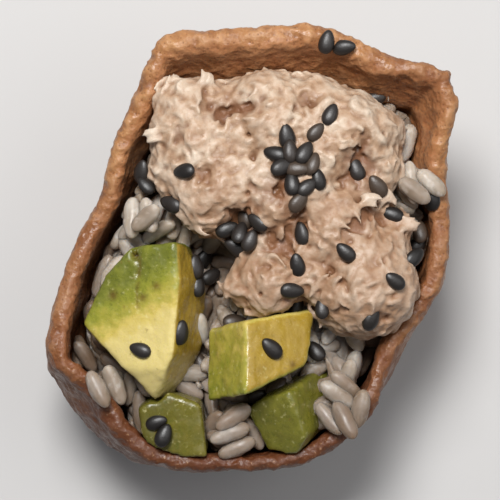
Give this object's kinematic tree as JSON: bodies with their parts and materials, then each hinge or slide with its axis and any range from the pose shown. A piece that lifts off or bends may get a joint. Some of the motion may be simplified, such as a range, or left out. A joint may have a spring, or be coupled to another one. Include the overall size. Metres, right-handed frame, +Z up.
{
  "type": "inari sushi",
  "caption": "Open-topped tofu pocket filled with sushi rice and heaped with tuna mayonnaise, diced avocado and black sesame.",
  "frame": {"origin": "middle of the pocket's bounding box, on the flat face it rests on", "axes": "+X to the right, +Y to the back, where the lip is highest, +Z up out of the pocket's mouth"},
  "size_m": [0.0552, 0.0594, 0.0355],
  "materials": {
    "simmered_tofu": "moist, wrinkled, deep-fried and simmered tofu skin",
    "cooked_rice": "moist, sticky, slightly see-through grains",
    "flaked_tuna": "moist flakes bound with mayonnaise",
    "avocado_flesh": "knife-cut flesh, green near the skin and cream inside",
    "black_sesame": "toasted seeds with a slight shine"
  },
  "bodies": {
    "root": {"tofu_pocket": "simmered_tofu", "sushi_rice": "cooked_rice", "tuna_mayonnaise": "flaked_tuna", "avocado_wedge": "avocado_flesh", "avocado_middle": "avocado_flesh", "avocado_front_left": "avocado_flesh", "avocado_front_right": "avocado_flesh"}
  },
  "joints": []
}
